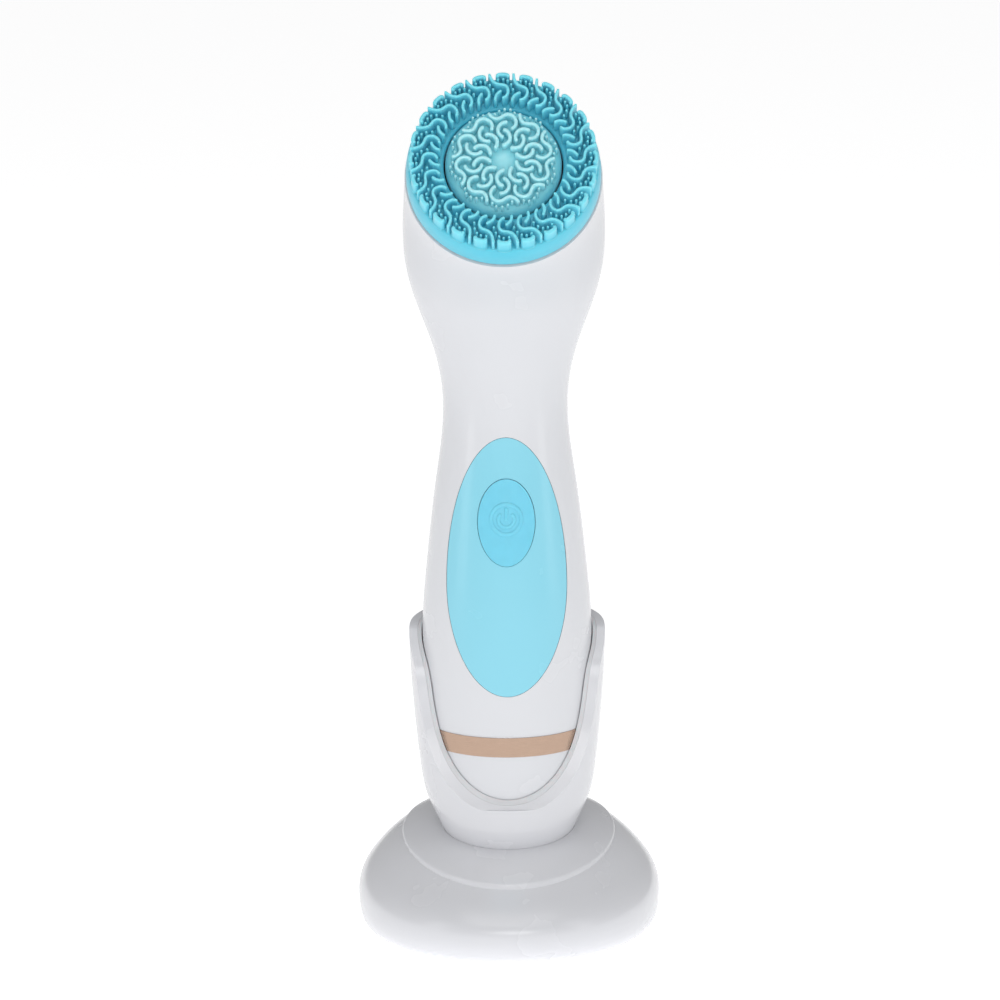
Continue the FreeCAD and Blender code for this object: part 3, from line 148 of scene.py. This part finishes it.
def rib(knots, copies, half, low, high, count=34, flare=0.28):
    """Closed ribs round the head: points in the head frame, and quads.

    A line is laid through knots of degrees and radius. Across it stands a wall with a rounded
    top, half millimetres each side of the line, that flares where it meets the floor. Its half
    width is drawn in over the last stretch d < half at each end as a circle is, by
    sqrt(1 - (1 - d / half)^2), and its top comes down by what the width has lost.
    """
    spots = np.stack(around_head(*np.asarray(knots, float).T), 1)
    line, along = smooth_line(spots, count)
    ends = half * (1 - np.cos(np.linspace(0, math.pi / 2, 5)))[1:-1]
    extra = np.concatenate([ends, along[-1] - ends])
    steps = np.sort(np.concatenate([along, extra]))
    line = np.stack([np.interp(steps, along, line[:, axis]) for axis in range(2)], 1)
    course = np.gradient(line, steps, axis=0)
    course /= np.linalg.norm(course, axis=1, keepdims=True)
    beside = np.stack([course[:, 1], -course[:, 0]], 1)
    near = np.clip(np.minimum(steps, steps[-1] - steps) / half, 0, 1)
    share = np.sqrt(np.clip(1 - (1 - near) ** 2, 0, 1))
    arc = np.radians(np.linspace(0, 180, 9))
    foot = np.array([1 + flare / half, 1 + flare / half, 1 + 0.3 * flare / half, 1.04])
    rise = np.array([low - 0.4, low, low + 0.8 * flare, low + 2.2 * flare])
    across = half * np.concatenate([foot, np.cos(arc), -foot[::-1]])
    level = np.concatenate([rise, high - half + half * np.sin(arc), rise[::-1]])
    lowered = np.where(level > high - half, half * (1 - share[:, None]), 0)
    spot = line[:, None, :] + beside[:, None, :] * (across * share[:, None])[..., None]
    heights = level - lowered * (level - high + half) / half
    points = repeated(spot[..., 0].ravel(), spot[..., 1].ravel(), heights.ravel(), copies)
    quads = grid_faces(len(steps), len(across), True)
    return points.reshape(-1, 3), stacked(quads, copies, len(steps) * len(across))


def stacked(quads, copies, size):
    """The quads of one copy, repeated for copies that hold size points each."""
    return (quads + size * np.arange(copies)[:, None, None]).reshape(-1, 4)


def nub(spots, copies, radius, low, high):
    """Round pins with domed tips at spots of degrees and radius, copied about the head's axis."""
    x, v = around_head(*np.asarray(spots, float).T)
    turn = TURN * np.arange(NUB_SIDES) / NUB_SIDES
    reach = radius * np.array([0, 1.3, 1.3, 1.04, 0.98, 0.8, 0.45, 0])
    level = np.array([low - 0.3, low - 0.3, low, low + 0.35, high - radius,
                      high - 0.42 * radius, high - 0.1 * radius, high])
    pin_x = x[:, None, None] + reach[:, None] * np.cos(turn)
    pin_v = v[:, None, None] + reach[:, None] * np.sin(turn)
    pin_h = np.broadcast_to(level[:, None], pin_x.shape)
    points = repeated(pin_x.ravel(), pin_v.ravel(), pin_h.ravel(), copies)
    quads = grid_faces(len(level), NUB_SIDES, True)
    return points.reshape(-1, 3), stacked(quads, copies * len(spots), len(level) * NUB_SIDES)


def rounded(corners):
    """A closed outline with its corners rounded.

    Each corner is a radius from the axis, a height, and how far back along its two sides the
    rounding starts. The rounding is (1 - t)^2 start + 2 t (1 - t) corner + t^2 end.
    """
    corners = np.asarray(corners, float)
    spot, reach = corners[:, :2], corners[:, 2:]
    before, after = np.roll(spot, 1, 0) - spot, np.roll(spot, -1, 0) - spot
    start = spot + reach * before / np.linalg.norm(before, axis=1, keepdims=True)
    end = spot + reach * after / np.linalg.norm(after, axis=1, keepdims=True)
    t = np.linspace(0, 1, CURVE_POINTS)[:, None, None]
    curve = (1 - t) ** 2 * start + 2 * t * (1 - t) * spot + t ** 2 * end
    return curve.transpose(1, 0, 2).reshape(-1, 2)


def lathe(outline, segments=192, closed=True):
    """An outline of radii and heights turned about the head's axis."""
    turn = TURN * np.arange(segments) / segments
    rows = np.vstack([outline, outline[:1]]) if closed else outline
    points = np.stack([rows[:, :1] * np.sin(turn), rows[:, :1] * np.cos(turn),
                       np.repeat(rows[:, 1:], segments, 1)], -1)
    return points.reshape(-1, 3), grid_faces(len(rows), segments, True)


def joined(*solids):
    """Several solids' points and quads as one mesh's."""
    starts = np.cumsum([0] + [len(points) for points, quads in solids])
    return (np.vstack([points for points, quads in solids]),
            np.vstack([quads + start for start, (points, quads) in zip(starts, solids)]))


# Finishes -----------------------------------------------------------------------------------

def shader(name, colour, roughness, **sockets):
    """A new material with its principled shader, and constants set on the shader's own sockets."""
    material = bpy.data.materials.new(name)
    material.use_nodes = True
    surface = material.node_tree.nodes["Principled BSDF"]
    surface.inputs["Base Color"].default_value = (*colour, 1)
    surface.inputs["Roughness"].default_value = roughness
    for socket, constant in sockets.items():
        surface.inputs[socket.replace("_", " ")].default_value = constant
    return material


def node(material, kind, **settings):
    """A new node: settings that are inputs are set as inputs, and the others as properties."""
    made = material.node_tree.nodes.new(kind)
    for name, setting in settings.items():
        if hasattr(made, name):
            setattr(made, name, setting)
        else:
            made.inputs[name.replace("_", " ")].default_value = setting
    return made


def link(material, start, end):
    """Join an output socket to an input socket."""
    material.node_tree.links.new(start, end)


def noise(material, size, detail=3.0, stretch=(1, 1, 1)):
    """Noise whose features are about size millimetres, squeezed along each axis by stretch."""
    place = node(material, "ShaderNodeTexCoord")
    mapping = node(material, "ShaderNodeMapping")
    mapping.inputs["Scale"].default_value = [1000 / size * share for share in stretch]
    link(material, place.outputs["Object"], mapping.inputs["Vector"])
    grain = node(material, "ShaderNodeTexNoise", Scale=1.0, Detail=detail)
    link(material, mapping.outputs["Vector"], grain.inputs["Vector"])
    return grain.outputs["Fac"]


def spread(material, factor, low, high, socket):
    """Spread noise between two numbers and feed it to one of the shader's sockets."""
    ranged = node(material, "ShaderNodeMapRange")
    for name, number in (("From Min", 0.3), ("From Max", 0.7), ("To Min", low), ("To Max", high)):
        ranged.inputs[name].default_value = number
    link(material, factor, ranged.inputs["Value"])
    surface = material.node_tree.nodes["Principled BSDF"]
    link(material, ranged.outputs["Result"], surface.inputs[socket])


def tinted(material, factor, first, second, low=0.35, high=0.65):
    """Colour the surface between two colours by a factor that runs from low to high."""
    ramp = node(material, "ShaderNodeValToRGB")
    ramp.color_ramp.elements[0].position, ramp.color_ramp.elements[1].position = low, high
    ramp.color_ramp.elements[0].color = (*first, 1)
    ramp.color_ramp.elements[1].color = (*second, 1)
    link(material, factor, ramp.inputs["Fac"])
    surface = material.node_tree.nodes["Principled BSDF"]
    link(material, ramp.outputs["Color"], surface.inputs["Base Color"])


def relief(material, factor, depth):
    """Raise and sink the surface by a share of depth millimetres, as bump."""
    bump = node(material, "ShaderNodeBump", Strength=1.0)
    bump.inputs["Distance"].default_value = depth * MM
    link(material, factor, bump.inputs["Height"])
    surface = material.node_tree.nodes["Principled BSDF"]
    link(material, bump.outputs["Normal"], surface.inputs["Normal"])


def scaled(colour, share):
    """A colour made darker or lighter."""
    return tuple(min(1, channel * share) for channel in colour)


def moulded(name, colour, roughness, coat=0.35, grain=0.0002, variation=0.996):
    """Moulded plastic: nearly even in colour, with a faint skin texture and a soft gloss."""
    made = shader(name, colour, roughness, Coat_Weight=coat, Coat_Roughness=0.12)
    tinted(made, noise(made, 9.0), scaled(colour, variation), colour)
    spread(made, noise(made, 14.0), roughness - 0.02, roughness + 0.02, "Roughness")
    relief(made, noise(made, 0.12, 1.0), grain)
    return made


def silicone(name, colour, roughness=0.42, depth=1.2, tips=None, low=0, high=1):
    """Soft silicone: light passes a little way in, and the skin is satin with a fine bloom.

    On a brush head, the colour turns from the base colour to the lighter tip colour from low to
    high millimetres out along the head's axis, the dot product of place and axis: painted light on
    the rib tips and painted shade down in the valleys between the ribs.
    """
    made = shader(name, colour, roughness, Subsurface_Weight=0.4, Subsurface_Scale=depth * MM,
                  Sheen_Weight=0.12, Sheen_Roughness=0.5)
    made.node_tree.nodes["Principled BSDF"].inputs["Subsurface Radius"].default_value = (0.5, 1, 1)
    if tips:
        # Painted light and shade: rib tips lighter and valleys darker, by height out of the head's face
        tinted(made, height_out(made, low, high), colour, tips, 0, 1)
    else:
        tinted(made, noise(made, 3.0), scaled(colour, 0.97), colour)
    spread(made, noise(made, 0.8), roughness - 0.05, roughness + 0.06, "Roughness")
    relief(made, noise(made, 0.35, 2.0), 0.003)
    return made


def height_out(material, low, high):
    """How far a spot is from low to high millimetres out of the head's face, as 0 to 1."""
    place = node(material, "ShaderNodeTexCoord")
    from_face = node(material, "ShaderNodeVectorMath", operation="SUBTRACT")
    from_face.inputs[1].default_value = FACE
    along = node(material, "ShaderNodeVectorMath", operation="DOT_PRODUCT")
    along.inputs[1].default_value = OUT / MM
    ranged = node(material, "ShaderNodeMapRange")
    ranged.inputs["From Min"].default_value, ranged.inputs["From Max"].default_value = low, high
    link(material, place.outputs["Object"], from_face.inputs[0])
    link(material, from_face.outputs["Vector"], along.inputs[0])
    link(material, along.outputs["Value"], ranged.inputs["Value"])
    return ranged.outputs["Result"]


def metal(name, colour, roughness, lines=(1, 1, 1), size=0.4, depth=0.004):
    """Metal with drawn or turned lines: noise squeezed along the way that the tool ran."""
    made = shader(name, colour, roughness, Metallic=1.0)
    marks = noise(made, size, 4.0, lines)
    tinted(made, marks, scaled(colour, 0.9), colour)
    spread(made, marks, roughness * 0.75, roughness * 1.3, "Roughness")
    relief(made, marks, depth)
    return made


def circuit_board(name):
    """Green solder mask with raised tracks in a fine square maze."""
    made = shader(name, (0.02, 0.13, 0.07), 0.32, Coat_Weight=0.4, Coat_Roughness=0.1)
    place = node(made, "ShaderNodeTexCoord")
    mapping = node(made, "ShaderNodeMapping")
    mapping.inputs["Scale"].default_value = (900, 900, 900)
    mapping.inputs["Rotation"].default_value = (math.pi / 2, 0, 0)
    link(made, place.outputs["Object"], mapping.inputs["Vector"])
    maze = node(made, "ShaderNodeTexBrick", Scale=1.0)
    maze.inputs["Mortar Size"].default_value = 0.06
    maze.inputs["Brick Width"].default_value = 2.6
    maze.inputs["Row Height"].default_value = 0.9
    link(made, mapping.outputs["Vector"], maze.inputs["Vector"])
    tinted(made, maze.outputs["Fac"], (0.02, 0.13, 0.07), (0.05, 0.27, 0.13))
    relief(made, maze.outputs["Fac"], 0.03)
    return made


def winding(name):
    """Enamelled copper wire wound in close turns about the Z axis."""
    made = shader(name, (0.62, 0.24, 0.10), 0.3, Metallic=1.0, Coat_Weight=0.6)
    place = node(made, "ShaderNodeTexCoord")
    mapping = node(made, "ShaderNodeMapping")
    mapping.inputs["Scale"].default_value = (900, 900, 0)
    link(made, place.outputs["Object"], mapping.inputs["Vector"])
    turns = node(made, "ShaderNodeTexWave", wave_type="RINGS", rings_direction="Z", Scale=0.6)
    link(made, mapping.outputs["Vector"], turns.inputs["Vector"])
    tinted(made, turns.outputs["Fac"], (0.34, 0.11, 0.04), (0.78, 0.33, 0.15))
    relief(made, turns.outputs["Fac"], 0.12)
    return made


FINISHES = {
    "warm_white": moulded("handle white", (0.69, 0.70, 0.73), 0.26),
    "base_white": moulded("stand white", (0.68, 0.685, 0.715), 0.26),
    "panel_blue": moulded("panel blue", (0.245, 0.65, 0.79), 0.26),
    "button_blue": silicone("button blue", (0.18, 0.64, 0.82), 0.4, 0.5),
    "gold_trim": metal("rose gold plate", (0.48, 0.34, 0.26), 0.22, (1, 1, 30), 3.0, 0.002),
    # The brush silicones' tip colours are painted light on the rib tips, over painted shade in the valleys
    "brush_blue": silicone("outer brush silicone", (0.095, 0.57, 0.73),
                           tips=(0.20, 0.72, 0.84), low=7.5, high=11.8),
    "brush_aqua": silicone("inner brush silicone", (0.24, 0.69, 0.78),
                           tips=(0.42, 0.82, 0.88), low=9.3, high=11.8),
    "liner_white": silicone("cradle liner silicone", (0.66, 0.67, 0.69), 0.5, 0.5),
    "foot_grey": silicone("foot rubber", (0.30, 0.31, 0.32), 0.7, 0.2),
    "seal_grey": silicone("seal silicone", (0.12, 0.125, 0.135), 0.5, 0.3),
    "inner_black": moulded("inner frame black", (0.018, 0.018, 0.02), 0.5, 0.0, 0.02, 0.8),
    "gear_white": moulded("acetal", (0.78, 0.76, 0.70), 0.4, 0.0, 0.006),
    "board_green": circuit_board("circuit board"),
    "steel": metal("ground steel", (0.55, 0.56, 0.57), 0.3, (1, 1, 1), 0.3),
    "motor_steel": metal("drawn motor can", (0.62, 0.62, 0.63), 0.35, (1, 4, 4), 1.2),
    "brass": metal("turned brass", (0.70, 0.50, 0.22), 0.28, (1, 1, 1), 0.3),
    "copper": winding("copper winding"),
    "ferrite": moulded("sintered ferrite", (0.03, 0.028, 0.028), 0.75, 0.0, 0.05, 0.6),
    "cell_wrap": moulded("cell sleeve", (0.03, 0.12, 0.28), 0.28, 0.5, 0.01, 0.9),
    "lead_red": silicone("insulated lead", (0.42, 0.02, 0.015), 0.4, 0.2),
}


def finish_nodes():
    """Give every CAD node the finish of its material slot."""
    for part in frame["record"]["subparts"]:
        mesh = frame["nodes"][part["node"]].data
        mesh.materials.clear()
        mesh.materials.append(FINISHES[part["material_slot"]])


finish_nodes()


# Brush heads --------------------------------------------------------------------------------

RIB_TOP = 11.9
RING_UNITS, RING_FLOOR, RING_RIB_HALF = 24, 7.4, 0.36
DOME_UNITS, DOME_FLOOR = 10, 9.3
DOME_MIDDLE, DOME_RISE = 5.4, 1.5                # Radius and height of the smooth middle
SHOULDER_RADIUS, SHOULDER_ROUND = 12.6, 2.4      # Where the dome's edge starts to turn down


def outer_ring():
    """The outer brush: a flanged ring with waves, hooks, rim tabs and pins, one set per unit."""
    body = lathe(rounded([(15.4, 4.2, 0.3), (22.4, 4.2, 0.1), (22.4, 0.6, 0.1), (25.2, 0.6, 0.35),
                          (25.2, 4.8, 1.6), (24.35, RING_FLOOR, 0.7), (15.4, RING_FLOOR, 0.9)]))
    wave = rib([(21.6, 24.15), (21.9, 23.4), (22.5, 22.6), (23.8, 21.7), (25.7, 21.1),
                (28.2, 20.85), (30.7, 20.7), (32.9, 20.2), (34.0, 19.25), (33.8, 18.25),
                (32.3, 17.4), (29.4, 16.9)], RING_UNITS, RING_RIB_HALF, RING_FLOOR, RIB_TOP, 46)
    hook = rib([(28.9, 19.1), (26.8, 18.6), (24.7, 17.9), (23.5, 17.1), (23.2, 16.3)],
               RING_UNITS, RING_RIB_HALF, RING_FLOOR, RIB_TOP, 22)
    tab = rib([(26.9, 22.95), (26.75, 23.55), (28.0, 23.8), (29.95, 23.85), (31.9, 23.8),
               (33.15, 23.55), (33.0, 22.95)], RING_UNITS, 0.5, RING_FLOOR, RIB_TOP - 0.2, 30)
    pins = nub([(26.8, 22.35), (30.3, 22.5), (18.3, 22.1), (20.8, 21.1), (22.6, 19.7)],
               RING_UNITS, 0.33, RING_FLOOR, RIB_TOP - 0.3)
    points, quads = joined(body, wave, hook, tab, pins)
    piece("outer_bristles", on_head(*points.T), quads, FINISHES["brush_blue"],
          "outer_head", ["outer_brush_ring"])


def dome_outline():
    """The inner brush's section: a raised smooth middle, a floor, and a shoulder down the side.

    The middle's height falls to the floor by the smooth step 3 t^2 - 2 t^3 of the radius.
    """
    radius = np.linspace(0, SHOULDER_RADIUS, 40)
    t = np.clip((DOME_MIDDLE - radius) / DOME_MIDDLE, 0, 1)
    top = np.stack([radius, DOME_FLOOR + DOME_RISE * (3 * t ** 2 - 2 * t ** 3)], 1)
    angle = np.radians(np.linspace(0, 90, 14))[1:]
    shoulder = np.stack([SHOULDER_RADIUS + SHOULDER_ROUND * np.sin(angle),
                         DOME_FLOOR - SHOULDER_ROUND + SHOULDER_ROUND * np.cos(angle)], 1)
    under = np.array([(15.0, 4.9), (14.9, 4.6), (13.4, 4.6), (13.4, 7.2), (0, 7.2)])
    return np.vstack([top, shoulder, under])


def inner_dome():
    """The inner brush: a domed pad with three nested ribs and five edge pins per unit."""
    body = lathe(dome_outline(), 160, closed=False)
    edge = rib([(55.3, 13.3), (56.3, 12.45), (59.3, 11.6), (64.0, 11.15), (69.3, 11.45),
                (74.0, 12.1), (78.7, 12.35), (84.0, 12.1), (88.7, 11.2), (91.0, 10.15),
                (90.0, 9.1), (86.0, 8.3)], DOME_UNITS, 0.44, DOME_FLOOR, RIB_TOP, 48)
    middle = rib([(78.7, 10.15), (73.3, 10.0), (68.0, 9.5), (63.3, 8.55), (62.0, 7.5),
                  (64.0, 6.6), (68.7, 6.05), (74.0, 5.85)], DOME_UNITS, 0.46, DOME_FLOOR, RIB_TOP)
    inner = rib([(71.3, 7.75), (76.7, 7.8), (83.3, 7.1), (88.7, 6.05), (90.0, 5.1), (85.3, 4.2),
                 (76.7, 3.65), (66.7, 3.45)], DOME_UNITS, 0.48, DOME_FLOOR, RIB_TOP)
    pins = nub([(62.3, 12.55), (67.7, 13.3), (73.7, 13.8), (80.0, 13.8), (85.0, 13.05)],
               DOME_UNITS, 0.34, DOME_FLOOR - 1.6, RIB_TOP - 0.2)
    points, quads = joined(body, edge, middle, inner, pins)
    piece("inner_bristles", on_head(*points.T), quads, FINISHES["brush_aqua"],
          "inner_head", ["inner_brush_pad"])


outer_ring()
inner_dome()


# Power sign ---------------------------------------------------------------------------------

SIGN_MIDDLE = 117.8    # Height of the sign's middle on the handle
SIGN_HEIGHT = 0.5      # Height that the sign is drawn with
SIGN_RELIEF = 0.24     # How far it stands out of the button
SIGN_HALF = 0.5        # Half the width of its strokes


def on_button(x, up, rise):
    """Points in metres on the power button's front, raised by rise millimetres.

    The front is y = a + b x + c z + d x^2 + e x z + f z^2 about the sign's middle, with the six
    numbers fitted by least squares to the button's own front vertices.
    """
    mesh = frame["nodes"]["power_button"].data
    corners = np.empty(3 * len(mesh.vertices), np.float32)
    mesh.vertices.foreach_get("co", corners)
    corners = corners.reshape(-1, 3).astype(float) / MM - (0, 0, SIGN_MIDDLE)
    front = corners[np.hypot(corners[:, 0], corners[:, 2]) < 8]
    front = front[front[:, 1] < front[:, 1].min() + 1.5]
    known = np.linalg.lstsq(quadric_terms(front[:, 0], front[:, 2]), front[:, 1], rcond=None)[0]
    y = quadric_terms(x, up) @ known - rise
    return MM * np.stack([x, y, up + SIGN_MIDDLE], 1)


def quadric_terms(x, z):
    """The six terms 1, x, z, x^2, x z and z^2, a row for each spot."""
    return np.stack([np.ones_like(x), x, z, x * x, x * z, z * z], 1)


def power_sign():
    """The power button's raised sign: a ring, and in it an open circle with an upright bar."""
    ring = lathe(rounded([(3.45, -SIGN_HEIGHT, 0.05), (4.43, -SIGN_HEIGHT, 0.05),
                          (4.43, SIGN_HEIGHT, 0.42), (3.45, SIGN_HEIGHT, 0.42)]), 96)
    circle = rib([(44, 2.1), (90, 2.1), (135, 2.1), (180, 2.1), (225, 2.1), (270, 2.1),
                  (316, 2.1)], 1, SIGN_HALF, 0, SIGN_HEIGHT, 48, 0)
    bar = rib([(0, 3.1), (0, 1.4), (180, 0.3)], 1, SIGN_HALF, 0, SIGN_HEIGHT, 16, 0)
    points, quads = joined(ring, circle, bar)
    x, up, height = points.T
    piece("power_sign", on_button(x, up, height * SIGN_RELIEF / SIGN_HEIGHT), quads,
          FINISHES["button_blue"], "button")


power_sign()


# Studio -------------------------------------------------------------------------------------

FLOOR_HALF, FLOOR_POINTS = 40.0, 9        # Metres from the middle, and points along a side
FLOOR_GLOW, ROOM_LIGHT = 0.6, 0.38
AIM = (0, 0, 0.12)                        # Where the lights point
CAMERA_PLACE = (-0.0016, -1.09184, 0.37059)
CAMERA_TIP, CAMERA_ROLL = 90 - 12.973, -0.47


def floor():
    """A wide, level floor of white studio paper that glows a little."""
    side = np.linspace(-FLOOR_HALF, FLOOR_HALF, FLOOR_POINTS)
    x, y = np.meshgrid(side, side)
    points = np.stack([x.ravel(), y.ravel(), np.zeros(x.size)], 1)
    mesh = bpy.data.meshes.new("studio_floor")
    quads = grid_faces(FLOOR_POINTS, FLOOR_POINTS, False)
    mesh.from_pydata(points.tolist(), [], quads.tolist())
    paper = moulded("studio paper", (0.93, 0.93, 0.935), 0.85, 0.0, 0.02)
    glow = paper.node_tree.nodes["Principled BSDF"]
    glow.inputs["Emission Color"].default_value = (1, 1, 1, 1)
    glow.inputs["Emission Strength"].default_value = FLOOR_GLOW
    mesh.materials.append(paper)
    made = bpy.data.objects.new("studio_floor", mesh)
    bpy.context.scene.collection.objects.link(made)


def softbox(name, place, size, power):
    """A rectangular soft white light at a place, turned to the object; metres and watts."""
    light = bpy.data.lights.new(name, "AREA")
    light.shape = "RECTANGLE"
    light.size, light.size_y = size
    light.energy = power
    made = bpy.data.objects.new(name, light)
    made.location = place
    made.rotation_euler = (Vector(AIM) - Vector(place)).to_track_quat("-Z", "Y").to_euler()
    bpy.context.scene.collection.objects.link(made)


def studio_light():
    """Even light from a white room, and big soft boxes above, at both sides and in front."""
    world = bpy.data.worlds.new("studio")
    world.use_nodes = True
    world.node_tree.nodes["Background"].inputs["Color"].default_value = (1, 1, 1, 1)
    world.node_tree.nodes["Background"].inputs["Strength"].default_value = ROOM_LIGHT
    bpy.context.scene.world = world
    bpy.context.scene.view_settings.view_transform = "Standard"
    softbox("light_above", (0, -0.35, 1.2), (1.0, 0.8), 3.0)
    softbox("light_left", (-0.95, -0.55, 0.35), (0.3, 1.1), 1.3)
    softbox("light_right", (0.9, -0.5, 0.4), (0.25, 1.1), 1.0)
    softbox("light_front", (0.1, -1.7, 0.75), (1.0, 0.7), 6.2)


def stand_camera():
    """The camera, level with a point above the head, tipped down and very slightly rolled."""
    camera = bpy.data.cameras.new("camera")
    camera.lens, camera.sensor_width = 152.9, 36.0
    made = bpy.data.objects.new("camera", camera)
    tip = Matrix.Rotation(math.radians(CAMERA_TIP), 4, "X")
    roll = Matrix.Rotation(math.radians(CAMERA_ROLL), 4, "Z")
    made.matrix_world = Matrix.Translation(CAMERA_PLACE) @ tip @ roll
    bpy.context.scene.collection.objects.link(made)
    bpy.context.scene.camera = made


floor()
studio_light()
stand_camera()
